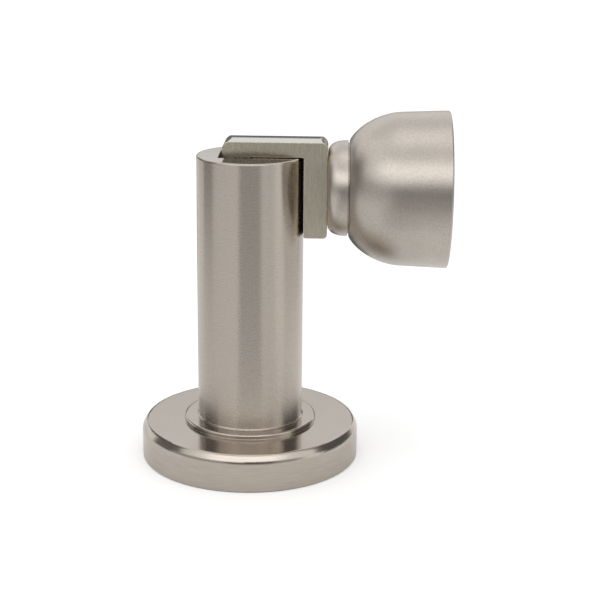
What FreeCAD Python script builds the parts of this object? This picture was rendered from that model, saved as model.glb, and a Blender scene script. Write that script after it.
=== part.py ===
import FreeCAD, Part
import math
import os

os.makedirs("parts", exist_ok=True)

# Magnetic door stop: a floor post with a hinged catch lever, and the door's magnet catch.
# Sizes are in millimetres. The origin is the centre of the base's underside.
# +Z runs up the post, and +X runs from the post towards the door.

# Clearances between pieces
SEAT_GAP = 0.05
PIN_GAP = 0.05
ARM_GAP = 0.1
LEG_GAP = 0.12
THREAD_GAP = 0.04

# Base rose
ROSE_DIAMETER = 50.0
ROSE_HEIGHT = 8.6
ROSE_BEVEL_WIDTH = 1.0
ROSE_BEVEL_HEIGHT = 1.7
ROSE_TOP_ROUND = 0.8
ROSE_SIDE_ROUND = 1.8
ROSE_FOOT_EDGE = 0.3
ROSE_WALL = 2.4
ROSE_CAVITY_HEIGHT = 5.4
ROSE_CAVITY_CORNER = 1.0
COLLAR_DIAMETER = 30.3
COLLAR_HEIGHT = 1.0
COLLAR_ROUND = 0.4

# Post
POST_DIAMETER = 24.0
POST_TOP_Z = 70.5
POST_TOP_ROUND = 0.45
POST_FOOT_FLARE = 0.28
POST_FOOT_EDGE = 0.06
SPIGOT_DIAMETER = 14.0
SPIGOT_LENGTH = 1.2
TAPPED_DEPTH = 22.0
TAP_DRILL_POINT_ANGLE = 118.0

# Slot sunk in the top of the post for the lever's lug
SLOT_BACK_GAP = 0.9
SLOT_FRONT_GAP = 1.0
SLOT_FLOOR_GAP = 0.6
SLOT_CORNER_ROUND = 0.4
SLOT_SIDE_GAP = 0.6

# Catch lever, an L in side view
LEVER_WIDTH = 8.4
LEVER_LEFT_X = -6.0
ARM_THICKNESS = 3.6
ARM_CROWN_RADIUS = 60.0
LEG_THICKNESS = 5.2
LEG_LENGTH = 21.7
ARM_END_ROUND = 2.1
KNEE_ROUND = 1.9
LEG_OUTER_ROUND = 0.8
LEG_INNER_ROUND = 0.45
INNER_CORNER_ROUND = 0.5
HEEL_ROUND = 0.5
LEVER_EDGE_BREAK = 0.12

# Hinge of the lever
PIN_DIAMETER = 2.2
PIN_X = -2.8
PIN_DEPTH = 1.8
LUG_RADIUS = 2.6
LUG_ROOT_ROUND = 1.0
PIN_FRONT_COVER = 2.6
PIN_END_RECESS = 0.3
PIN_END_BREAK = 0.3

# Fixing plate and its centre bolt
PLATE_THICKNESS = 4.0
PLATE_SIDE_GAP = 0.2
PLATE_EDGE_BREAK = 0.3
PLATE_SCREW_COUNT = 3
PLATE_SCREW_CIRCLE = 32.0
PLATE_SCREW_HOLE = 4.4
PLATE_SCREW_SINK = 8.4
BOLT_DIAMETER = 6.0
BOLT_HEAD_DIAMETER = 11.6
BOLT_HEAD_RECESS = 0.2
BOLT_TOP_Z = 28.0
BOLT_END_BREAK = 0.6
BOLT_SOCKET_FLATS = 4.0
BOLT_SOCKET_DEPTH = 2.2
SINK_ANGLE = 90.0

# Lock washer and nut on the centre bolt
WASHER_DIAMETER = 11.4
LOCK_WASHER_THICKNESS = 1.1
LOCK_WASHER_SPLIT = 0.8
NUT_FLATS = 10.0
NUT_THICKNESS = 3.2

# Door catch, turned about an axis along X below the lever's top
CATCH_AXIS_DROP = 11.0
NOSE_FACE_DIAMETER = 16.4
NOSE_DIAMETER = 21.3
NOSE_LENGTH = 4.73
NOSE_LIP = 0.35
NOSE_SHOULDER_START_PULL = 1.2
NOSE_SHOULDER_END_PULL = 3.0
GROOVE_WIDTH = 0.3
GROOVE_DEPTH = 0.5
STEM_DIAMETER = 6.0
STEM_LENGTH = 8.4
STEM_END_BREAK = 0.6

# Magnet and the steel disc behind it
MAGNET_DIAMETER = 13.0
MAGNET_THICKNESS = 2.0
MAGNET_RECESS = 0.1
MAGNET_EDGE_BREAK = 0.2
BACK_IRON_THICKNESS = 0.8

# Bell
BELL_NECK_DIAMETER = 21.4
BELL_RIM_DIAMETER = 35.0
BELL_LENGTH = 22.0
BELL_SHOULDER_LENGTH = 11.7
BELL_SHOULDER_DIAMETER = 34.2
BELL_SHOULDER_ANGLE = 68.0
BELL_SHOULDER_START_PULL = 2.5
BELL_SHOULDER_END_PULL = 6.1
BELL_WALL = 2.0
BELL_END_WALL = 3.0
BELL_RIM_ROUND = 0.4

# Washer and nut on the stem
STEM_WASHER_DIAMETER = 12.0
STEM_WASHER_THICKNESS = 1.0

# Door plate inside the bell's mouth
DOOR_PLATE_THICKNESS = 4.5
DOOR_PLATE_SIDE_GAP = 0.1
DOOR_PLATE_EDGE_BREAK = 0.25
DOOR_SCREW_COUNT = 3
DOOR_SCREW_CIRCLE = 20.0
DOOR_SCREW_HOLE = 4.0
DOOR_SCREW_SINK = 7.6
DOOR_PLATE_NOTCH_DEPTH = 0.4

# Grub screw in the underside of the bell's rim
GRUB_DIAMETER = 3.0
GRUB_RECESS = 0.15
GRUB_SOCKET_FLATS = 1.5
GRUB_SOCKET_DEPTH = 1.0

# Places worked out from the sizes above
POST_RADIUS = POST_DIAMETER / 2
ROSE_RADIUS = ROSE_DIAMETER / 2
COLLAR_TOP_Z = ROSE_HEIGHT + COLLAR_HEIGHT
SPIGOT_BOTTOM_Z = COLLAR_TOP_Z - SPIGOT_LENGTH
BOLT_RADIUS = BOLT_DIAMETER / 2
PIN_RADIUS = PIN_DIAMETER / 2
PIN_Z = POST_TOP_Z - PIN_DEPTH
SLOT_WIDTH = LEVER_WIDTH + 2 * SLOT_SIDE_GAP
SLOT_BACK_X = LEVER_LEFT_X - SLOT_BACK_GAP
SLOT_FRONT_X = PIN_X + LUG_RADIUS + SLOT_FRONT_GAP
SLOT_FLOOR_Z = PIN_Z - LUG_RADIUS - SLOT_FLOOR_GAP
ARM_UNDER_Z = POST_TOP_Z + ARM_GAP
LEVER_TOP_Z = ARM_UNDER_Z + ARM_THICKNESS
LEG_BOTTOM_Z = LEVER_TOP_Z - LEG_LENGTH
CATCH_AXIS_Z = LEVER_TOP_Z - CATCH_AXIS_DROP
LEG_INNER_X = POST_RADIUS + LEG_GAP
LEG_OUTER_X = LEG_INNER_X + LEG_THICKNESS
PIN_FRONT_Y = PIN_FRONT_COVER - POST_RADIUS
NOSE_FACE_X = LEG_OUTER_X + SEAT_GAP
NOSE_END_X = NOSE_FACE_X + NOSE_LENGTH
POCKET_DEPTH = MAGNET_RECESS + MAGNET_THICKNESS + BACK_IRON_THICKNESS
BELL_RIM_X = NOSE_END_X + BELL_LENGTH
BELL_FLOOR_X = NOSE_END_X + BELL_END_WALL
MOUTH_RADIUS = BELL_RIM_DIAMETER / 2 - BELL_WALL
DOOR_PLATE_X = BELL_RIM_X - DOOR_PLATE_THICKNESS
STEM_RADIUS = STEM_DIAMETER / 2

UP = FreeCAD.Vector(0, 0, 1)
ALONG_X = FreeCAD.Vector(1, 0, 0)
ALONG_Y = FreeCAD.Vector(0, 1, 0)
ORIGIN = FreeCAD.Vector(0, 0, 0)
CATCH_CENTRE = FreeCAD.Vector(0, 0, CATCH_AXIS_Z)


def side_point(across, height):
    """A point of the side view, in the XZ plane."""
    return FreeCAD.Vector(across, 0, height)


def catch_point(along, radius):
    """A point of the door catch's half section, as a radius above its axis."""
    return FreeCAD.Vector(along, 0, CATCH_AXIS_Z + radius)


def corner_arc(before, corner, after, radius):
    """The start, middle and end of the arc that rounds one corner."""
    to_before = (before - corner).normalize()
    to_after = (after - corner).normalize()
    half_angle = to_before.getAngle(to_after) / 2
    reach = radius / math.tan(half_angle)
    to_centre = (to_before + to_after).normalize()
    centre = corner + to_centre * (radius / math.sin(half_angle))
    return [corner + to_before * reach, centre - to_centre * radius, corner + to_after * reach]


def outline(corners, place):
    """A closed wire through corners given as (first, second, rounding radius)."""
    points = [place(first, second) for first, second, radius in corners]
    count = len(corners)
    stations = []
    for index, (first, second, radius) in enumerate(corners):
        if radius > 0:
            after = points[(index + 1) % count]
            stations.append(corner_arc(points[index - 1], points[index], after, radius))
        else:
            stations.append([points[index]])
    edges = []
    for index, station in enumerate(stations):
        if len(station) > 1:
            edges.append(Part.Arc(*station).toShape())
        start = station[-1]
        end = stations[(index + 1) % count][0]
        if start.distanceToPoint(end) > 1e-6:
            edges.append(Part.LineSegment(start, end).toShape())
    return Part.Wire(edges)


def turned_about_post(corners):
    """A solid turned about the post's axis from (radius, height, rounding) corners."""
    return Part.Face(outline(corners, side_point)).revolve(ORIGIN, UP, 360)


def turned_about_catch(corners):
    """A solid turned about the catch's axis from (along, radius, rounding) corners."""
    return Part.Face(outline(corners, catch_point)).revolve(CATCH_CENTRE, ALONG_X, 360)


def catch_cylinder(radius, start_x, end_x):
    """A solid cylinder on the catch's axis, between two places along it."""
    return turned_about_catch([
        (start_x, 0, 0),
        (start_x, radius, 0),
        (end_x, radius, 0),
        (end_x, 0, 0),
    ])


def hexagon(flats, thickness, base):
    """A hexagonal prism standing on a base point, along Z."""
    corner_radius = flats / 2 / math.cos(math.pi / 6)
    points = []
    for step in range(7):
        angle = step * math.pi / 3
        across = FreeCAD.Vector(math.cos(angle), math.sin(angle), 0)
        points.append(base + across * corner_radius)
    return Part.Face(Part.makePolygon(points)).extrude(UP * thickness)


def along_catch(shape):
    """Turns a shape built up +Z from the origin to run along +X on the catch's axis."""
    shape.rotate(ORIGIN, ALONG_Y, 90)
    shape.translate(CATCH_CENTRE)
    return shape


def countersunk_hole(hole, sink, thickness):
    """The cutting tool of a hole up +Z from z = 0, sunk at its far end."""
    drill = Part.makeCylinder(hole / 2, thickness)
    sink_depth = (sink - hole) / 2 / math.tan(math.radians(SINK_ANGLE / 2))
    cone = Part.makeCone(hole / 2, sink / 2, sink_depth)
    cone.translate(UP * (thickness - sink_depth))
    return drill.fuse(cone)


def ring_of(tool, count, circle, first_angle):
    """Copies of a tool spaced evenly on a circle about Z."""
    copies = []
    for index in range(count):
        copy = tool.copy()
        copy.translate(ALONG_X * (circle / 2))
        copy.rotate(ORIGIN, UP, first_angle + index * 360 / count)
        copies.append(copy)
    return copies


def nut_blank(flats, thickness, hole_radius):
    """A hexagonal nut standing on z = 0, with its corners turned off at both ends."""
    corner_radius = flats / 2 / math.cos(math.pi / 6)
    turned_off = corner_radius - flats / 2
    blank = turned_about_post([
        (hole_radius, 0, 0),
        (flats / 2, 0, 0),
        (corner_radius, turned_off / 2, 0),
        (corner_radius, thickness - turned_off / 2, 0),
        (flats / 2, thickness, 0),
        (hole_radius, thickness, 0),
    ])
    return blank.common(hexagon(flats, thickness, ORIGIN))


def base_rose():
    """Bevelled round base with a raised collar, hollow beneath for the fixing plate."""
    well_radius = SPIGOT_DIAMETER / 2 + SEAT_GAP
    cavity_radius = ROSE_RADIUS - ROSE_WALL
    return turned_about_post([
        (well_radius, ROSE_CAVITY_HEIGHT, 0),
        (well_radius, COLLAR_TOP_Z, 0),
        (COLLAR_DIAMETER / 2, COLLAR_TOP_Z, COLLAR_ROUND),
        (COLLAR_DIAMETER / 2, ROSE_HEIGHT, 0),
        (ROSE_RADIUS - ROSE_BEVEL_WIDTH, ROSE_HEIGHT, ROSE_TOP_ROUND),
        (ROSE_RADIUS, ROSE_HEIGHT - ROSE_BEVEL_HEIGHT, ROSE_SIDE_ROUND),
        (ROSE_RADIUS, ROSE_FOOT_EDGE, 0),
        (ROSE_RADIUS - ROSE_FOOT_EDGE, 0, 0),
        (cavity_radius, 0, 0),
        (cavity_radius, ROSE_CAVITY_HEIGHT - ROSE_CAVITY_CORNER, 0),
        (cavity_radius - ROSE_CAVITY_CORNER, ROSE_CAVITY_HEIGHT, 0),
    ])


def slot_tool():
    """The space sunk into the post's top, round the lever's lug."""
    length = SLOT_FRONT_X - SLOT_BACK_X
    corner = FreeCAD.Vector(SLOT_BACK_X, -SLOT_WIDTH / 2, SLOT_FLOOR_Z)
    box = Part.makeBox(length, SLOT_WIDTH, POST_DIAMETER, corner)
    upright = [edge for edge in box.Edges if edge.BoundBox.ZLength > SLOT_WIDTH]
    return box.makeFillet(SLOT_CORNER_ROUND, upright)


def post():
    """Turned post with a flared foot, a centring spigot, the slot and the pin's bore."""
    foot_radius = POST_RADIUS + POST_FOOT_FLARE
    edge_z = COLLAR_TOP_Z + POST_FOOT_EDGE
    body = turned_about_post([
        (0, SPIGOT_BOTTOM_Z, 0),
        (SPIGOT_DIAMETER / 2, SPIGOT_BOTTOM_Z, 0),
        (SPIGOT_DIAMETER / 2, COLLAR_TOP_Z, 0),
        (foot_radius, COLLAR_TOP_Z, 0),
        (foot_radius, edge_z, 0),
        (POST_RADIUS, edge_z + POST_FOOT_FLARE, 0),
        (POST_RADIUS, POST_TOP_Z, POST_TOP_ROUND),
        (0, POST_TOP_Z, 0),
    ])
    tapped_radius = BOLT_RADIUS + THREAD_GAP
    point_depth = tapped_radius / math.tan(math.radians(TAP_DRILL_POINT_ANGLE / 2))
    tapped = turned_about_post([
        (0, SPIGOT_BOTTOM_Z, 0),
        (tapped_radius, SPIGOT_BOTTOM_Z, 0),
        (tapped_radius, SPIGOT_BOTTOM_Z + TAPPED_DEPTH, 0),
        (0, SPIGOT_BOTTOM_Z + TAPPED_DEPTH + point_depth, 0),
    ])
    bore_start = FreeCAD.Vector(PIN_X, PIN_FRONT_Y, PIN_Z)
    pin_bore = Part.makeCylinder(PIN_RADIUS + SEAT_GAP, POST_DIAMETER, bore_start, ALONG_Y)
    return body.cut([tapped, slot_tool(), pin_bore])


def side_edges(shape, width):
    """The edges round the two side faces of a shape that is symmetric about y = 0."""
    chosen = []
    for edge in shape.Edges:
        box = edge.BoundBox
        flat = box.YLength < 1e-6
        if flat and abs(abs(box.YMin) - width / 2) < 1e-6:
            chosen.append(edge)
    return chosen


def lever():
    """L-shaped catch: crowned arm over the slot, leg down the post, and a lug round the pin."""
    lug_bottom = PIN_Z - LUG_RADIUS
    lug_left = PIN_X - LUG_RADIUS
    lug_right = PIN_X + LUG_RADIUS
    wire = outline([
        (LEVER_LEFT_X, LEVER_TOP_Z, ARM_END_ROUND),
        (LEG_OUTER_X, LEVER_TOP_Z, KNEE_ROUND),
        (LEG_OUTER_X, LEG_BOTTOM_Z, LEG_OUTER_ROUND),
        (LEG_INNER_X, LEG_BOTTOM_Z, LEG_INNER_ROUND),
        (LEG_INNER_X, ARM_UNDER_Z, INNER_CORNER_ROUND),
        (lug_right, ARM_UNDER_Z, LUG_ROOT_ROUND),
        (lug_right, lug_bottom, LUG_RADIUS),
        (lug_left, lug_bottom, LUG_RADIUS),
        (lug_left, ARM_UNDER_Z, HEEL_ROUND),
        (LEVER_LEFT_X, ARM_UNDER_Z + HEEL_ROUND * 2, HEEL_ROUND),
    ], side_point)
    body = Part.Face(wire).extrude(ALONG_Y * LEVER_WIDTH)
    body.translate(ALONG_Y * (-LEVER_WIDTH / 2))
    crown_start = FreeCAD.Vector(LEVER_LEFT_X, 0, LEVER_TOP_Z - ARM_CROWN_RADIUS)
    length = LEG_OUTER_X - LEVER_LEFT_X
    body = body.common(Part.makeCylinder(ARM_CROWN_RADIUS, length, crown_start, ALONG_X))
    body = body.makeChamfer(LEVER_EDGE_BREAK, side_edges(body, LEVER_WIDTH))
    bore_start = FreeCAD.Vector(PIN_X, -LEVER_WIDTH, PIN_Z)
    bore = Part.makeCylinder(PIN_RADIUS + PIN_GAP, 2 * LEVER_WIDTH, bore_start, ALONG_Y)
    return body.cut(bore)


def hinge_pin():
    """Cross pin, blind at the front and let in from the back of the post."""
    surface_y = math.sqrt(POST_RADIUS ** 2 - (abs(PIN_X) + PIN_RADIUS) ** 2)
    length = surface_y - PIN_END_RECESS - PIN_FRONT_Y
    start = FreeCAD.Vector(PIN_X, PIN_FRONT_Y, PIN_Z)
    pin = Part.makeCylinder(PIN_RADIUS, length, start, ALONG_Y)
    rims = [edge for edge in pin.Edges if edge.isClosed()]
    return pin.makeChamfer(PIN_END_BREAK, rims)


def fixing_plate():
    """Round steel plate, sunk from above for the floor screws and from below for the bolt."""
    radius = ROSE_RADIUS - ROSE_WALL - PLATE_SIDE_GAP
    plate = turned_about_post([
        (0, 0, 0),
        (radius - PLATE_EDGE_BREAK, 0, 0),
        (radius, PLATE_EDGE_BREAK, 0),
        (radius, PLATE_THICKNESS - PLATE_EDGE_BREAK, 0),
        (radius - PLATE_EDGE_BREAK, PLATE_THICKNESS, 0),
        (0, PLATE_THICKNESS, 0),
    ])
    screw_hole = countersunk_hole(PLATE_SCREW_HOLE, PLATE_SCREW_SINK, PLATE_THICKNESS)
    holes = ring_of(screw_hole, PLATE_SCREW_COUNT, PLATE_SCREW_CIRCLE, 90)
    bolt_hole = turned_about_post([
        (0, 0, 0),
        (BOLT_HEAD_DIAMETER / 2 + BOLT_HEAD_RECESS + SEAT_GAP, 0, 0),
        (BOLT_RADIUS + SEAT_GAP, head_height() + BOLT_HEAD_RECESS, 0),
        (BOLT_RADIUS + SEAT_GAP, PLATE_THICKNESS, 0),
        (0, PLATE_THICKNESS, 0),
    ])
    return plate.cut(holes + [bolt_hole])


def head_height():
    """Height of the centre bolt's countersunk head."""
    return (BOLT_HEAD_DIAMETER / 2 - BOLT_RADIUS) / math.tan(math.radians(SINK_ANGLE / 2))


def centre_bolt():
    """Countersunk socket bolt, head down in the plate and shank up into the post."""
    bolt = turned_about_post([
        (0, BOLT_HEAD_RECESS, 0),
        (BOLT_HEAD_DIAMETER / 2, BOLT_HEAD_RECESS, 0),
        (BOLT_RADIUS, BOLT_HEAD_RECESS + head_height(), 0),
        (BOLT_RADIUS, BOLT_TOP_Z - BOLT_END_BREAK, 0),
        (BOLT_RADIUS - BOLT_END_BREAK, BOLT_TOP_Z, 0),
        (0, BOLT_TOP_Z, 0),
    ])
    socket = hexagon(BOLT_SOCKET_FLATS, BOLT_SOCKET_DEPTH, UP * BOLT_HEAD_RECESS)
    return bolt.cut(socket)


def lock_washer():
    """Split spring washer between the plate and its nut."""
    ring = turned_about_post([
        (BOLT_RADIUS + SEAT_GAP, PLATE_THICKNESS, 0),
        (WASHER_DIAMETER / 2, PLATE_THICKNESS, 0),
        (WASHER_DIAMETER / 2, PLATE_THICKNESS + LOCK_WASHER_THICKNESS, 0),
        (BOLT_RADIUS + SEAT_GAP, PLATE_THICKNESS + LOCK_WASHER_THICKNESS, 0),
    ])
    corner = FreeCAD.Vector(0, -LOCK_WASHER_SPLIT / 2, PLATE_THICKNESS)
    split = Part.makeBox(WASHER_DIAMETER, LOCK_WASHER_SPLIT, LOCK_WASHER_THICKNESS, corner)
    return ring.cut(split)


def lock_nut():
    """Thin nut that keeps the bolt upright in the plate."""
    nut = nut_blank(NUT_FLATS, NUT_THICKNESS, BOLT_RADIUS + THREAD_GAP)
    nut.translate(UP * (PLATE_THICKNESS + LOCK_WASHER_THICKNESS))
    return nut


def half_section_face(edges):
    """A face from edges of the catch's half section."""
    return Part.Face(Part.Wire(edges))


def magnet_holder():
    """Round nose with a soft shoulder, the magnet's pocket and a threaded stem."""
    nose_radius = NOSE_DIAMETER / 2
    face_radius = NOSE_FACE_DIAMETER / 2
    pocket_radius = MAGNET_DIAMETER / 2 + SEAT_GAP
    groove_x = NOSE_END_X - GROOVE_WIDTH
    shoulder_end_x = groove_x - NOSE_LIP
    shoulder = Part.BezierCurve()
    shoulder.setPoles([
        catch_point(NOSE_FACE_X, face_radius),
        catch_point(NOSE_FACE_X, face_radius + NOSE_SHOULDER_START_PULL),
        catch_point(shoulder_end_x - NOSE_SHOULDER_END_PULL, nose_radius),
        catch_point(shoulder_end_x, nose_radius),
    ])
    stem_end = NOSE_END_X + STEM_LENGTH
    corners = [
        catch_point(shoulder_end_x, nose_radius),
        catch_point(groove_x, nose_radius),
        catch_point(groove_x, nose_radius - GROOVE_DEPTH),
        catch_point(NOSE_END_X, nose_radius - GROOVE_DEPTH),
        catch_point(NOSE_END_X, STEM_RADIUS),
        catch_point(stem_end - STEM_END_BREAK, STEM_RADIUS),
        catch_point(stem_end, STEM_RADIUS - STEM_END_BREAK),
        catch_point(stem_end, 0),
        catch_point(NOSE_FACE_X + POCKET_DEPTH, 0),
        catch_point(NOSE_FACE_X + POCKET_DEPTH, pocket_radius),
        catch_point(NOSE_FACE_X, pocket_radius),
        catch_point(NOSE_FACE_X, face_radius),
    ]
    edges = [shoulder.toShape()]
    for start, end in zip(corners, corners[1:]):
        edges.append(Part.LineSegment(start, end).toShape())
    return half_section_face(edges).revolve(CATCH_CENTRE, ALONG_X, 360)


def magnet():
    """Disc magnet, set just behind the nose's face."""
    radius = MAGNET_DIAMETER / 2
    start = NOSE_FACE_X + MAGNET_RECESS
    end = start + MAGNET_THICKNESS
    return turned_about_catch([
        (start, 0, 0),
        (start, radius - MAGNET_EDGE_BREAK, 0),
        (start + MAGNET_EDGE_BREAK, radius, 0),
        (end - MAGNET_EDGE_BREAK, radius, 0),
        (end, radius - MAGNET_EDGE_BREAK, 0),
        (end, 0, 0),
    ])


def back_iron():
    """Steel disc behind the magnet."""
    start = NOSE_FACE_X + MAGNET_RECESS + MAGNET_THICKNESS
    return catch_cylinder(MAGNET_DIAMETER / 2, start, start + BACK_IRON_THICKNESS)


def bell_curve(inset):
    """The bell's shoulder from neck to flare, moved inwards by an inset."""
    rim_radius = BELL_RIM_DIAMETER / 2
    neck = FreeCAD.Vector(NOSE_END_X, 0, BELL_NECK_DIAMETER / 2)
    end = FreeCAD.Vector(NOSE_END_X + BELL_SHOULDER_LENGTH, 0, BELL_SHOULDER_DIAMETER / 2)
    rim = FreeCAD.Vector(BELL_RIM_X, 0, rim_radius)
    angle = math.radians(BELL_SHOULDER_ANGLE)
    rise = FreeCAD.Vector(math.cos(angle), 0, math.sin(angle))
    flare = (rim - end).normalize()
    neck_inward = FreeCAD.Vector(rise.z, 0, -rise.x) * inset
    flare_inward = FreeCAD.Vector(flare.z, 0, -flare.x) * inset
    poles = [
        neck + neck_inward,
        neck + rise * BELL_SHOULDER_START_PULL + neck_inward,
        end - flare * BELL_SHOULDER_END_PULL + flare_inward,
        end + flare_inward,
    ]
    curve = Part.BezierCurve()
    curve.setPoles([catch_point(pole.x, pole.z) for pole in poles])
    return curve.toShape(), poles


def bell_solid(inset, start_x, end_x, rim_round):
    """Everything inside the bell's outline moved inwards, between two places along it."""
    curve, poles = bell_curve(inset)
    shoulder_end = catch_point(poles[3].x, poles[3].z)
    rim = catch_point(BELL_RIM_X, BELL_RIM_DIAMETER / 2 - inset)
    edges = [curve]
    if rim_round > 0:
        arc = corner_arc(shoulder_end, rim, catch_point(BELL_RIM_X, 0), rim_round)
        edges.append(Part.LineSegment(shoulder_end, arc[0]).toShape())
        edges.append(Part.Arc(*arc).toShape())
        rim = arc[2]
    else:
        edges.append(Part.LineSegment(shoulder_end, rim).toShape())
    corners = [
        rim,
        catch_point(BELL_RIM_X, 0),
        catch_point(poles[0].x, 0),
        catch_point(poles[0].x, poles[0].z),
    ]
    for start, end in zip(corners, corners[1:]):
        edges.append(Part.LineSegment(start, end).toShape())
    whole = half_section_face(edges).revolve(CATCH_CENTRE, ALONG_X, 360)
    return whole.common(catch_cylinder(BELL_RIM_DIAMETER, start_x, end_x))


def grub_axis_x():
    """Place of the grub screw, over the middle of the door plate's edge."""
    return DOOR_PLATE_X + DOOR_PLATE_THICKNESS / 2


def flare_radius(along):
    """Outer radius of the bell's flare at a place between its shoulder and its rim."""
    shoulder_radius = BELL_SHOULDER_DIAMETER / 2
    shoulder_x = NOSE_END_X + BELL_SHOULDER_LENGTH
    slope = (BELL_RIM_DIAMETER / 2 - shoulder_radius) / (BELL_RIM_X - shoulder_x)
    return shoulder_radius + slope * (along - shoulder_x)


def bell():
    """Cast bell of even wall with a thicker end, a stem hole and a tapped grub hole."""
    outside = bell_solid(0, NOSE_END_X, BELL_RIM_X, BELL_RIM_ROUND)
    inside = bell_solid(BELL_WALL, BELL_FLOOR_X, DOOR_PLATE_X, 0)
    mouth = catch_cylinder(MOUTH_RADIUS, DOOR_PLATE_X, BELL_RIM_X)
    stem_hole = catch_cylinder(STEM_RADIUS + SEAT_GAP, NOSE_END_X, BELL_FLOOR_X)
    grub_start = CATCH_CENTRE + ALONG_X * grub_axis_x()
    grub_hole = Part.makeCylinder(GRUB_DIAMETER / 2, BELL_RIM_DIAMETER, grub_start, -UP)
    return outside.cut([inside, mouth, stem_hole, grub_hole])


def stem_washer():
    """Flat washer on the stem, against the bell's end wall."""
    return turned_about_catch([
        (BELL_FLOOR_X, STEM_RADIUS + SEAT_GAP, 0),
        (BELL_FLOOR_X, STEM_WASHER_DIAMETER / 2, 0),
        (BELL_FLOOR_X + STEM_WASHER_THICKNESS, STEM_WASHER_DIAMETER / 2, 0),
        (BELL_FLOOR_X + STEM_WASHER_THICKNESS, STEM_RADIUS + SEAT_GAP, 0),
    ])


def stem_nut():
    """Thin nut on the stem."""
    nut = along_catch(nut_blank(NUT_FLATS, NUT_THICKNESS, STEM_RADIUS + THREAD_GAP))
    nut.translate(ALONG_X * (BELL_FLOOR_X + STEM_WASHER_THICKNESS))
    return nut


def door_plate():
    """Disc flush with the bell's rim, sunk on its inner side for the door screws."""
    radius = MOUTH_RADIUS - DOOR_PLATE_SIDE_GAP
    middle = DOOR_PLATE_THICKNESS / 2
    plate = turned_about_post([
        (0, 0, 0),
        (radius - DOOR_PLATE_EDGE_BREAK, 0, 0),
        (radius, DOOR_PLATE_EDGE_BREAK, 0),
        (radius, middle - DOOR_PLATE_NOTCH_DEPTH, 0),
        (radius - DOOR_PLATE_NOTCH_DEPTH, middle, 0),
        (radius, middle + DOOR_PLATE_NOTCH_DEPTH, 0),
        (radius, DOOR_PLATE_THICKNESS - DOOR_PLATE_EDGE_BREAK, 0),
        (radius - DOOR_PLATE_EDGE_BREAK, DOOR_PLATE_THICKNESS, 0),
        (0, DOOR_PLATE_THICKNESS, 0),
    ])
    screw_hole = countersunk_hole(DOOR_SCREW_HOLE, DOOR_SCREW_SINK, DOOR_PLATE_THICKNESS)
    plate = plate.cut(ring_of(screw_hole, DOOR_SCREW_COUNT, DOOR_SCREW_CIRCLE, 0))
    plate.rotate(ORIGIN, ALONG_Y, -90)
    plate.translate(CATCH_CENTRE + ALONG_X * BELL_RIM_X)
    return plate


def grub_screw():
    """Socket grub screw whose cone sits in the groove round the door plate."""
    radius = GRUB_DIAMETER / 2 - THREAD_GAP
    outer = flare_radius(grub_axis_x()) - GRUB_RECESS
    tip = MOUTH_RADIUS - DOOR_PLATE_SIDE_GAP - DOOR_PLATE_NOTCH_DEPTH + SEAT_GAP
    shoulder = MOUTH_RADIUS + SEAT_GAP
    screw = turned_about_post([
        (0, -outer, 0),
        (radius, -outer, 0),
        (radius, -shoulder, 0),
        (shoulder - tip, -shoulder, 0),
        (0, -tip, 0),
    ])
    socket = hexagon(GRUB_SOCKET_FLATS, GRUB_SOCKET_DEPTH, UP * -outer)
    screw = screw.cut(socket)
    screw.translate(CATCH_CENTRE + ALONG_X * grub_axis_x())
    return screw


PIECES = [
    base_rose,
    post,
    lever,
    hinge_pin,
    fixing_plate,
    centre_bolt,
    lock_washer,
    lock_nut,
    magnet_holder,
    magnet,
    back_iron,
    bell,
    stem_washer,
    stem_nut,
    door_plate,
    grub_screw,
]

for piece in PIECES:
    piece().exportStep("parts/" + piece.__name__ + ".step")
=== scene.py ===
import math

import bpy
from mathutils import Matrix, Vector


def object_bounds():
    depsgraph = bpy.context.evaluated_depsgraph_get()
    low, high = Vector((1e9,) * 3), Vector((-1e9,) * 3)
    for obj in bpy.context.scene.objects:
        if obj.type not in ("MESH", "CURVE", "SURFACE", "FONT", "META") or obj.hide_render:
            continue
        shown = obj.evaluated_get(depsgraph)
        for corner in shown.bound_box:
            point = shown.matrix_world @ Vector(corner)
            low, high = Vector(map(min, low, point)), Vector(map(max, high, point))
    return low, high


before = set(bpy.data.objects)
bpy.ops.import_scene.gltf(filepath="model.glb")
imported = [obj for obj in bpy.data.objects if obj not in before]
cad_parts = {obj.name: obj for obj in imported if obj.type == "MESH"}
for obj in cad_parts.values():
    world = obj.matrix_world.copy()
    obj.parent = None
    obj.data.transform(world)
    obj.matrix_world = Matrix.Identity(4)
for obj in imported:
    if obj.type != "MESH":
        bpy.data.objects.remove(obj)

# Looks of a magnetic door stop: turned and brushed nickel floor post, brushed steel catch lever,
# bead-blasted nickel bell and nose.
# Lengths are in metres, in the frame's axes: +Z runs up the post, +X towards the door.
# Azimuths are in degrees round the post's axis: 0 is on the camera's side, 90 on the door's side.

MM = 0.001
CAD_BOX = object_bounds()

# Camera at the photograph's viewing angle
CAMERA_PLACE = Vector((0.01906, -0.314, 0.1273))
CAMERA_DOWN_DEG = 16.03
CAMERA_LEFT_DEG = 1.4
CAMERA_ROLL_DEG = 0.58
CAMERA_LENS_MM = 85.85
CAMERA_SENSOR_MM = 36.0

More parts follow.
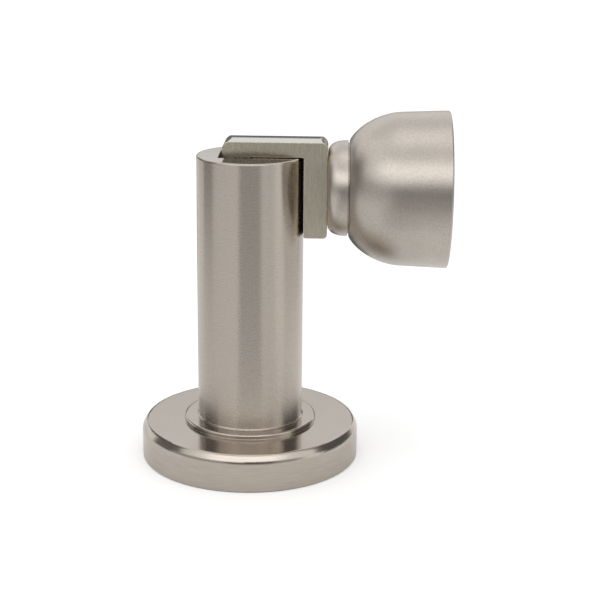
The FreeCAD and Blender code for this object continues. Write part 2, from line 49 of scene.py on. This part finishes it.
# Metal colours, linear, where the grain is lightest and where it is darkest
NICKEL_LIGHT = (0.58, 0.518, 0.456)
NICKEL_DARK = (0.49, 0.437, 0.382)
POST_LIGHT = (0.548, 0.489, 0.430)
POST_DARK = (0.522, 0.466, 0.408)
PEARL_LIGHT = (0.63, 0.574, 0.513)
PEARL_DARK = (0.46, 0.419, 0.374)
STEEL_LIGHT = (0.815, 0.747, 0.605)
STEEL_DARK = (0.58, 0.531, 0.430)
ZINC_LIGHT = (0.62, 0.63, 0.64)
ZINC_DARK = (0.44, 0.46, 0.48)
PIN_LIGHT = (0.52, 0.51, 0.50)
PIN_DARK = (0.38, 0.37, 0.36)
MAGNET_LIGHT = (0.66, 0.64, 0.60)
MAGNET_DARK = (0.56, 0.54, 0.50)

# Grain per metre: for turned metal round the axis and along the section, else along X, Y and Z
POST_GRAIN = (340.0, 6000.0)
ROSE_GRAIN = (240.0, 3800.0)
LEVER_GRAIN = (2200.0, 1200.0, 320.0)
BLASTED_GRAIN = (3000.0, 3000.0, 3000.0)
PLATED_GRAIN = (900.0, 900.0, 900.0)

# Tone of every metal: its grain with faint clouds, and the ranges that set colour and roughness
CLOUD_GRAIN = 90.0
CLOUD_SHARE = 0.35
COLOUR_TONES = (0.42, 0.93)
ROUGHNESS_TONES = (0.40, 0.95)

# Level faces, which are cut smooth: the upright part of their normals, and how they differ
FACED_NORMALS = (0.75, 0.95)
FACED_GRAIN = 0.3
# Share and colour of the painted highlight on the lever's level faces, a neutral grey
FACED_HIGHLIGHT_SHARE = 0.8
STEEL_TOP_HIGHLIGHT = (0.67, 0.655, 0.635)

# Edges, worn and with a painted highlight: the dot product of the rounded and the flat normal,
# their patches and their shine
BEVEL_SAMPLES = 6
WEAR_AND_HIGHLIGHT_NORMALS = (0.99, 0.80)
WEAR_AND_HIGHLIGHT_PATCHES_PER_RADIUS = 0.4
WEAR_AND_HIGHLIGHT_PATCH_RANGE = (0.3, 0.65)
WEAR_AND_HIGHLIGHT_PATCH_LEAST = 0.35
WEAR_AND_HIGHLIGHT_LIGHTER = 1.12
WEAR_AND_HIGHLIGHT_SHARE = 0.6
WORN_SMOOTHER = 0.06

# Level direction that runs across the lever's upright faces, whether they face along X or along Y
LEVER_TANGENT = (0.8, 0.6, 0.0)

# Studio
STUDIO_RADIUS = 0.6
STUDIO_AIM = Vector((0.01, 0.0, 0.045))
FLOOR_SIZE = 60.0
FLOOR_COLOUR = (0.8, 0.8, 0.8, 1.0)
FLOOR_CAMERA_GLOW = 0.30
FLOOR_GLOSSY_GLOW = 0.04
WORLD_DIFFUSE_LEVEL = 0.92
WHITE = (1.0, 1.0, 1.0, 1.0)
CARD_STEPS = 12
CARD_FADES = (0.12, 0.12)
LEAST_FADE = 0.001


def cleared_tree(owner):
    """The emptied shader tree of a material or a world."""
    owner.use_nodes = True
    owner.node_tree.nodes.clear()
    return owner.node_tree


def add(tree, kind, inputs=None, **settings):
    """A new shader node with its settings, and its inputs set or linked."""
    node = tree.nodes.new(kind)
    for name, value in settings.items():
        setattr(node, name, value)
    for name, value in (inputs or {}).items():
        if isinstance(value, bpy.types.NodeSocket):
            tree.links.new(value, node.inputs[name])
        else:
            node.inputs[name].default_value = value
    return node


def calculate(tree, operation, first, second=0.0):
    """The result of one Math node."""
    return add(tree, "ShaderNodeMath", {0: first, 1: second}, operation=operation).outputs[0]


def remap(tree, value, old, new=(0.0, 1.0)):
    """A value moved from the old range to the new one and held inside it."""
    inputs = {
        "Value": value,
        "From Min": old[0],
        "From Max": old[1],
        "To Min": new[0],
        "To Max": new[1],
    }
    return add(tree, "ShaderNodeMapRange", inputs, clamp=True).outputs["Result"]


def between(tree, share, first, second):
    """The value that lies at a share of the way from the first to the second."""
    return remap(tree, share, (0.0, 1.0), (first, second))


def blend_colours(tree, share, first, second):
    """The mix of two colours, each a socket or three numbers."""
    node = add(tree, "ShaderNodeMix", data_type="RGBA")
    tree.links.new(share, node.inputs["Factor"])
    colour_sockets = [socket for socket in node.inputs if socket.type == "RGBA"]
    for socket, colour in zip(colour_sockets, (first, second)):
        if isinstance(colour, bpy.types.NodeSocket):
            tree.links.new(colour, socket)
        else:
            socket.default_value = (*colour, 1.0)
    return next(socket for socket in node.outputs if socket.type == "RGBA")


def object_place(tree):
    """The point's place in the frame, in metres."""
    return add(tree, "ShaderNodeTexCoord").outputs["Object"]


def face_normal(tree):
    """The surface's own normal."""
    return add(tree, "ShaderNodeNewGeometry").outputs["Normal"]


def stretched(tree, per_metre):
    """Texture coordinates with their own scale along each axis."""
    inputs = {0: object_place(tree), 1: per_metre}
    return add(tree, "ShaderNodeVectorMath", inputs, operation="MULTIPLY").outputs[0]


def turned_grain(tree, round_it, across):
    """Coordinates that run slowly round the post's axis and fast along the section."""
    parts = add(tree, "ShaderNodeSeparateXYZ", {0: object_place(tree)}).outputs
    x_square = calculate(tree, "MULTIPLY", parts["X"], parts["X"])
    y_square = calculate(tree, "MULTIPLY", parts["Y"], parts["Y"])
    radius = calculate(tree, "SQRT", calculate(tree, "ADD", x_square, y_square))
    section = calculate(tree, "SUBTRACT", parts["Z"], radius)
    inputs = {
        0: calculate(tree, "MULTIPLY", parts["X"], round_it),
        1: calculate(tree, "MULTIPLY", parts["Y"], round_it),
        2: calculate(tree, "MULTIPLY", section, across),
    }
    return add(tree, "ShaderNodeCombineXYZ", inputs).outputs[0]


def post_grain(tree):
    """Lines that the post's brushing leaves round it."""
    return turned_grain(tree, *POST_GRAIN)


def rose_grain(tree):
    """Lines that the lathe leaves round the base."""
    return turned_grain(tree, *ROSE_GRAIN)


def lever_grain(tree):
    """Upright brushing on the lever."""
    return stretched(tree, LEVER_GRAIN)


def blasted_grain(tree):
    """Fine even grain of a blasted casting."""
    return stretched(tree, BLASTED_GRAIN)


def plated_grain(tree):
    """Coarser even grain of plated steel."""
    return stretched(tree, PLATED_GRAIN)


def upright_tangent(tree):
    """Tangent that stands up a turned wall, so that highlights stretch across its grain."""
    round_it = add(tree, "ShaderNodeTangent", direction_type="RADIAL", axis="Z").outputs[0]
    inputs = {0: round_it, 1: face_normal(tree)}
    return add(tree, "ShaderNodeVectorMath", inputs, operation="CROSS_PRODUCT").outputs[0]


def level_tangent(tree):
    """Tangent that lies level on the lever's upright faces."""
    x, y, z = LEVER_TANGENT
    return add(tree, "ShaderNodeCombineXYZ", {"X": x, "Y": y, "Z": z}).outputs[0]


def noise(tree, vector, scale=1.0, detail=3.0, roughness=0.6):
    """Fractal noise from 0 to 1."""
    inputs = {"Vector": vector, "Scale": scale, "Detail": detail, "Roughness": roughness}
    return add(tree, "ShaderNodeTexNoise", inputs).outputs["Fac"]


# Edge mask for wear, and for a painted highlight along sharp edges
def edge_wear_and_highlight(tree, radius, rounded):
    """A mask that is 1 on sharp edges, from how far a rounded normal departs from the face's."""
    inputs = {0: rounded, 1: face_normal(tree)}
    together = add(tree, "ShaderNodeVectorMath", inputs, operation="DOT_PRODUCT").outputs["Value"]
    patch_scale = WEAR_AND_HIGHLIGHT_PATCHES_PER_RADIUS / radius
    patches = noise(tree, object_place(tree), scale=patch_scale, detail=2.0)
    wear = remap(tree, patches, WEAR_AND_HIGHLIGHT_PATCH_RANGE, (WEAR_AND_HIGHLIGHT_PATCH_LEAST, 1.0))
    return calculate(tree, "MULTIPLY", remap(tree, together, WEAR_AND_HIGHLIGHT_NORMALS), wear)


def facing_up(tree):
    """A share that is 1 on level faces and 0 on upright ones."""
    upright = add(tree, "ShaderNodeSeparateXYZ", {0: face_normal(tree)}).outputs["Z"]
    return remap(tree, calculate(tree, "ABSOLUTE", upright), FACED_NORMALS)


def faint(tree, fine):
    """The grain of level faces, round the same mean as the full grain."""
    return between(tree, fine, 0.5 - FACED_GRAIN / 2, 0.5 + FACED_GRAIN / 2)


def metal_colour(tree, tone, edges, colours):
    """A metal's colour, which follows its tone and is lighter on edges, as wear and as painted
    highlight.
    """
    light, dark = colours
    # Lighter edge colour: partly wear, partly painted highlight
    worn_and_highlit = tuple(min(1.0, channel * WEAR_AND_HIGHLIGHT_LIGHTER) for channel in light)
    colour = blend_colours(tree, remap(tree, tone, COLOUR_TONES), dark, light)
    return blend_colours(tree, calculate(tree, "MULTIPLY", edges, WEAR_AND_HIGHLIGHT_SHARE), colour, worn_and_highlit)


def metal_roughness(tree, tone, edges, lowest, highest):
    """A metal's roughness, which is lowest where its tone is light, and lower on edges that wear
    rubs.
    """
    toned = remap(tree, tone, ROUGHNESS_TONES, (highest, lowest))
    return calculate(tree, "SUBTRACT", toned, calculate(tree, "MULTIPLY", edges, WORN_SMOOTHER))


def metal(name, colours, grain, roughness, bump, edge_radius, tangent=None, anisotropy=0.0,
          faced_roughness=None, faced_highlight_colour=None):
    """A metal finish, with its light and dark colours and its lowest and highest roughness.

    grain(tree) gives the grain's coordinates, and tangent(tree) the way that highlights stretch.
    The faced roughness is that of level faces, cut smooth; the faced highlight colour paints a
    highlight there.
    """
    material = bpy.data.materials.new(name)
    tree = cleared_tree(material)
    fine = noise(tree, grain(tree))
    if faced_roughness is not None:
        faced = facing_up(tree)
        fine = between(tree, faced, fine, faint(tree, fine))
    clouds = noise(tree, object_place(tree), scale=CLOUD_GRAIN, detail=2.0)
    tone = calculate(tree, "ADD", fine, calculate(tree, "MULTIPLY", clouds, CLOUD_SHARE))
    bevel = add(tree, "ShaderNodeBevel", {"Radius": edge_radius}, samples=BEVEL_SAMPLES)
    rounded = bevel.outputs["Normal"]
    # Edge mask: wear, and painted highlight on edges
    edges = edge_wear_and_highlight(tree, edge_radius, rounded)

    colour = metal_colour(tree, tone, edges, colours)
    rough = metal_roughness(tree, tone, edges, *roughness)
    stretch = anisotropy
    if faced_roughness is not None:
        rough = between(tree, faced, rough, faced_roughness)
        stretch = between(tree, faced, anisotropy, 0.0)
    # Painted highlight: level faces blend towards the faced highlight colour
    if faced_highlight_colour is not None:
        share = calculate(tree, "MULTIPLY", faced, FACED_HIGHLIGHT_SHARE)
        colour = blend_colours(tree, share, colour, faced_highlight_colour)

    bump_inputs = {"Strength": 1.0, "Distance": bump, "Height": fine, "Normal": rounded}
    inputs = {
        "Base Color": colour,
        "Metallic": 1.0,
        "Roughness": rough,
        "Normal": add(tree, "ShaderNodeBump", bump_inputs).outputs["Normal"],
        "Anisotropic": stretch,
    }
    if tangent is not None:
        inputs["Tangent"] = tangent(tree)
    shader = add(tree, "ShaderNodeBsdfPrincipled", inputs)
    add(tree, "ShaderNodeOutputMaterial", {"Surface": shader.outputs[0]})
    return material


def make_finishes():
    """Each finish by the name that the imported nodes' slots give it."""
    choices = {
        "brushed_nickel": dict(
            colours=(POST_LIGHT, POST_DARK), grain=post_grain, roughness=(0.26, 0.28),
            bump=0.0006 * MM, edge_radius=0.2 * MM, tangent=upright_tangent, anisotropy=0.9,
            faced_roughness=0.12),
        "satin_nickel": dict(
            colours=(NICKEL_LIGHT, NICKEL_DARK), grain=rose_grain, roughness=(0.14, 0.22),
            bump=0.006 * MM, edge_radius=0.2 * MM, tangent=upright_tangent, anisotropy=0.3,
            faced_roughness=0.17),
        "brushed_steel": dict(
            colours=(STEEL_LIGHT, STEEL_DARK), grain=lever_grain, roughness=(0.22, 0.29),
            bump=0.006 * MM, edge_radius=0.12 * MM, tangent=level_tangent, anisotropy=0.8,
            faced_roughness=0.10, faced_highlight_colour=STEEL_TOP_HIGHLIGHT),
        "pearl_nickel": dict(
            colours=(PEARL_LIGHT, PEARL_DARK), grain=blasted_grain, roughness=(0.30, 0.36),
            bump=0.018 * MM, edge_radius=0.2 * MM),
        "zinc_plated_steel": dict(
            colours=(ZINC_LIGHT, ZINC_DARK), grain=plated_grain, roughness=(0.28, 0.42),
            bump=0.010 * MM, edge_radius=0.15 * MM),
        "pin_steel": dict(
            colours=(PIN_LIGHT, PIN_DARK), grain=plated_grain, roughness=(0.20, 0.32),
            bump=0.006 * MM, edge_radius=0.15 * MM),
        "magnet_nickel": dict(
            colours=(MAGNET_LIGHT, MAGNET_DARK), grain=plated_grain, roughness=(0.10, 0.18),
            bump=0.004 * MM, edge_radius=0.15 * MM),
    }
    return {name: metal(name, **choice) for name, choice in choices.items()}


def dress_nodes(finishes):
    """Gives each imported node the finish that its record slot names."""
    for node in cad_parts.values():
        for slot in node.material_slots:
            slot.material = finishes[slot.material.name]


def new_object(name, data):
    """A new object in the scene."""
    thing = bpy.data.objects.new(name, data)
    bpy.context.scene.collection.objects.link(thing)
    return thing


def dome_point(azimuth_deg, elevation_deg):
    """A point on a dome round the middle of the object."""
    azimuth = math.radians(azimuth_deg)
    elevation = math.radians(elevation_deg)
    outward = STUDIO_RADIUS * math.cos(elevation)
    rise = STUDIO_RADIUS * math.sin(elevation)
    return STUDIO_AIM + Vector((outward * math.sin(azimuth), -outward * math.cos(azimuth), rise))


def level_point(azimuth_deg, reach, height):
    """A point at a height above the floor and a level reach from the post's axis."""
    azimuth = math.radians(azimuth_deg)
    return Vector((reach * math.sin(azimuth), -reach * math.cos(azimuth), height))


def edge_fade(tree, share, fade):
    """A strength that rises from 0 at both ends of a card to 1 within a share of its length."""
    from_end = calculate(tree, "MINIMUM", share, calculate(tree, "SUBTRACT", 1.0, share))
    return remap(tree, from_end, (0.0, max(fade, LEAST_FADE)))


def glowing(name, level, fades):
    """A card's glow, where white is 1, fading to clear at the card's edges."""
    material = bpy.data.materials.new(name)
    tree = cleared_tree(material)
    place = add(tree, "ShaderNodeSeparateXYZ", {0: add(tree, "ShaderNodeUVMap").outputs["UV"]})
    across = edge_fade(tree, place.outputs["X"], fades[0])
    upward = edge_fade(tree, place.outputs["Y"], fades[1])
    cover = calculate(tree, "MULTIPLY", across, upward)
    glow = add(tree, "ShaderNodeEmission", {"Color": WHITE, "Strength": level})
    clear = add(tree, "ShaderNodeBsdfTransparent")
    inputs = {0: cover, 1: clear.outputs[0], 2: glow.outputs[0]}
    both = add(tree, "ShaderNodeMixShader", inputs)
    add(tree, "ShaderNodeOutputMaterial", {"Surface": both.outputs[0]})
    return material


def make_card(name, azimuths, rows, point, level, fades):
    """A curved card round the object that shows only in its reflections.

    point(azimuth, row) gives its surface, and a level of 1 is white. The fades are the shares of
    its width and of its height in which it fades out at either end.
    """
    shares = [step / CARD_STEPS for step in range(CARD_STEPS + 1)]
    vertices = []
    corners = []
    for upward in shares:
        row = rows[0] + (rows[1] - rows[0]) * upward
        for across in shares:
            azimuth = azimuths[0] + (azimuths[1] - azimuths[0]) * across
            vertices.append(point(azimuth, row))
            corners.append((across, upward))
    width = len(shares)
    faces = []
    for line in range(CARD_STEPS):
        for column in range(CARD_STEPS):
            corner = line * width + column
            faces.append((corner, corner + 1, corner + width + 1, corner + width))
    mesh = bpy.data.meshes.new(name)
    mesh.from_pydata(vertices, [], faces)
    layer = mesh.uv_layers.new(name="card")
    for loop in mesh.loops:
        layer.data[loop.index].uv = corners[loop.vertex_index]
    mesh.materials.append(glowing(name, level, fades))
    card = new_object(name, mesh)
    card.visible_camera = False
    card.visible_diffuse = False
    card.visible_shadow = False


def dome_card(name, azimuths, elevations, level, fades=CARD_FADES):
    """A card on the dome round the object."""
    make_card(name, azimuths, elevations, dome_point, level, fades)


def wall_card(name, azimuths, heights, reach, level, fades=CARD_FADES):
    """A card that stands round the post's axis, at one reach from it."""
    def point(azimuth, height):
        return level_point(azimuth, reach, height)

    make_card(name, azimuths, heights, point, level, fades)


def floor_card(name, azimuths, reaches, height, level, fades=CARD_FADES):
    """A card that lies just above the floor, from one reach to another."""
    def point(azimuth, reach):
        return level_point(azimuth, reach, height)

    make_card(name, azimuths, reaches, point, level, fades)


def make_front_cards():
    """Bright cards overhead and in front, and the dim side of the room behind the camera."""
    dome_card("overhead_card", azimuths=(-90.0, 90.0), elevations=(74.0, 106.0), level=1.30,
              fades=(0.0, 0.2))
    dome_card("upper_card", azimuths=(-70.0, 70.0), elevations=(50.0, 72.0), level=0.80)
    dome_card("front_card", azimuths=(-62.0, 50.0), elevations=(20.0, 52.0), level=1.76,
              fades=(0.2, 0.25))
    wall_card("horizon_card", azimuths=(-105.0, 62.0), heights=(0.0, 0.30), reach=0.66,
              level=0.40, fades=(0.08, 0.15))
    wall_card("far_table_card", azimuths=(-21.0, 27.0), heights=(0.0, 0.09), reach=0.62,
              level=0.36, fades=(0.15, 0.0))
    wall_card("camera_card", azimuths=(-25.0, 31.0), heights=(0.07, 0.25), reach=0.61, level=0.06)


def make_table_cards():
    """The table in front of the object, darker in the middle and light at both sides."""
    floor_card("near_table_card", azimuths=(-24.0, 30.0), reaches=(0.05, 0.27), height=0.7 * MM,
               level=0.58)
    floor_card("table_card", azimuths=(-22.0, 28.0), reaches=(0.13, 0.62), height=MM,
               level=0.28, fades=(0.12, 0.3))
    floor_card("left_table_card", azimuths=(-86.0, -16.0), reaches=(0.03, 0.62), height=0.5 * MM,
               level=0.82)
    floor_card("right_table_card", azimuths=(22.0, 62.0), reaches=(0.03, 0.62), height=0.5 * MM,
               level=0.78)


def make_side_cards():
    """Dark cards at both sides, and the light table below the door catch."""
    wall_card("left_dark_card", azimuths=(-113.0, -79.0), heights=(0.0, 0.25), reach=0.22,
              level=0.18, fades=(0.15, 0.1))
    wall_card("left_high_card", azimuths=(-150.0, -68.0), heights=(0.05, 0.16), reach=0.16,
              level=0.13, fades=(0.1, 0.2))
    wall_card("right_dark_card", azimuths=(76.0, 138.0), heights=(0.0, 0.24), reach=0.25,
              level=0.12)
    dome_card("right_high_card", azimuths=(76.0, 135.0), elevations=(15.0, 48.0), level=0.20)
    floor_card("right_low_card", azimuths=(55.0, 170.0), reaches=(0.028, 0.15), height=MM,
               level=0.95, fades=(0.3, 0.25))


def make_back_cards():
    """The table's shade behind the object, and the grey room beyond it."""
    floor_card("back_shade_card", azimuths=(168.0, 206.0), reaches=(0.036, 0.30), height=MM,
               level=0.05, fades=(0.1, 0.12))
    dome_card("back_grey_card", azimuths=(125.0, 235.0), elevations=(8.0, 30.0), level=0.88)
    dome_card("back_upper_card", azimuths=(110.0, 250.0), elevations=(44.0, 70.0), level=0.80)
    wall_card("back_low_card", azimuths=(150.0, 210.0), heights=(0.0, 0.150), reach=0.50,
              level=0.12, fades=(0.1, 0.03))


def make_softbox(name, azimuth, elevation, size, radiance):
    """A rectangular lamp on the dome, aimed at the object, with the radiance of its face."""
    light = bpy.data.lights.new(name, "AREA")
    light.shape = "RECTANGLE"
    light.size, light.size_y = size
    light.energy = radiance * math.pi * light.size * light.size_y
    lamp = new_object(name, light)
    lamp.location = dome_point(azimuth, elevation)
    lamp.rotation_mode = "QUATERNION"
    lamp.rotation_quaternion = (STUDIO_AIM - lamp.location).to_track_quat("-Z", "Y")
    lamp.visible_camera = False
    lamp.visible_glossy = False


def seen_share(tree, camera_share, mirror_share):
    """A strength that only camera rays and mirrored or transmitted rays meet."""
    path = add(tree, "ShaderNodeLightPath").outputs
    mirrored = calculate(tree, "MAXIMUM", path["Is Glossy Ray"], path["Is Transmission Ray"])
    from_camera = calculate(tree, "MULTIPLY", path["Is Camera Ray"], camera_share)
    return calculate(tree, "ADD", from_camera, calculate(tree, "MULTIPLY", mirrored, mirror_share))


def make_floor():
    """A plain pale floor that keeps the object's shadow and looks white."""
    half = FLOOR_SIZE / 2
    corners = [(-half, -half, 0), (half, -half, 0), (half, half, 0), (-half, half, 0)]
    mesh = bpy.data.meshes.new("floor")
    mesh.from_pydata(corners, [], [(0, 1, 2, 3)])
    material = bpy.data.materials.new("floor_white")
    tree = cleared_tree(material)
    matt = add(tree, "ShaderNodeBsdfDiffuse", {"Color": FLOOR_COLOUR})
    strength = seen_share(tree, FLOOR_CAMERA_GLOW, FLOOR_GLOSSY_GLOW)
    glow = add(tree, "ShaderNodeEmission", {"Color": WHITE, "Strength": strength})
    both = add(tree, "ShaderNodeAddShader", {0: matt.outputs[0], 1: glow.outputs[0]})
    add(tree, "ShaderNodeOutputMaterial", {"Surface": both.outputs[0]})
    mesh.materials.append(material)
    floor = new_object("floor", mesh)
    floor.location.z = CAD_BOX[0].z


def make_world():
    """A white studio, a little dimmer as light on matt surfaces than as seen."""
    world = bpy.data.worlds.new("studio")
    tree = cleared_tree(world)
    strength = between(tree, seen_share(tree, 1.0, 1.0), WORLD_DIFFUSE_LEVEL, 1.0)
    background = add(tree, "ShaderNodeBackground", {"Color": WHITE, "Strength": strength})
    add(tree, "ShaderNodeOutputWorld", {"Surface": background.outputs[0]})
    bpy.context.scene.world = world


def make_camera():
    """The photograph's camera."""
    data = bpy.data.cameras.new("camera")
    data.lens = CAMERA_LENS_MM
    data.sensor_width = CAMERA_SENSOR_MM
    camera = new_object("camera", data)
    turn = Matrix.Rotation(math.radians(CAMERA_LEFT_DEG), 4, "Z")
    tilt = Matrix.Rotation(math.radians(90.0 - CAMERA_DOWN_DEG), 4, "X")
    roll = Matrix.Rotation(math.radians(CAMERA_ROLL_DEG), 4, "Z")
    camera.matrix_world = Matrix.Translation(CAMERA_PLACE) @ turn @ tilt @ roll
    bpy.context.scene.camera = camera


def make_studio():
    """Floor, world, lamps and the cards that the metal mirrors."""
    make_floor()
    make_world()
    make_softbox("front_softbox", azimuth=4.0, elevation=41.0, size=(0.40, 0.12), radiance=2.0)
    make_softbox("top_softbox", azimuth=0.0, elevation=76.0, size=(0.26, 0.14), radiance=2.0)
    make_front_cards()
    make_table_cards()
    make_side_cards()
    make_back_cards()


dress_nodes(make_finishes())
make_studio()
make_camera()
bpy.context.scene.view_settings.view_transform = "Standard"
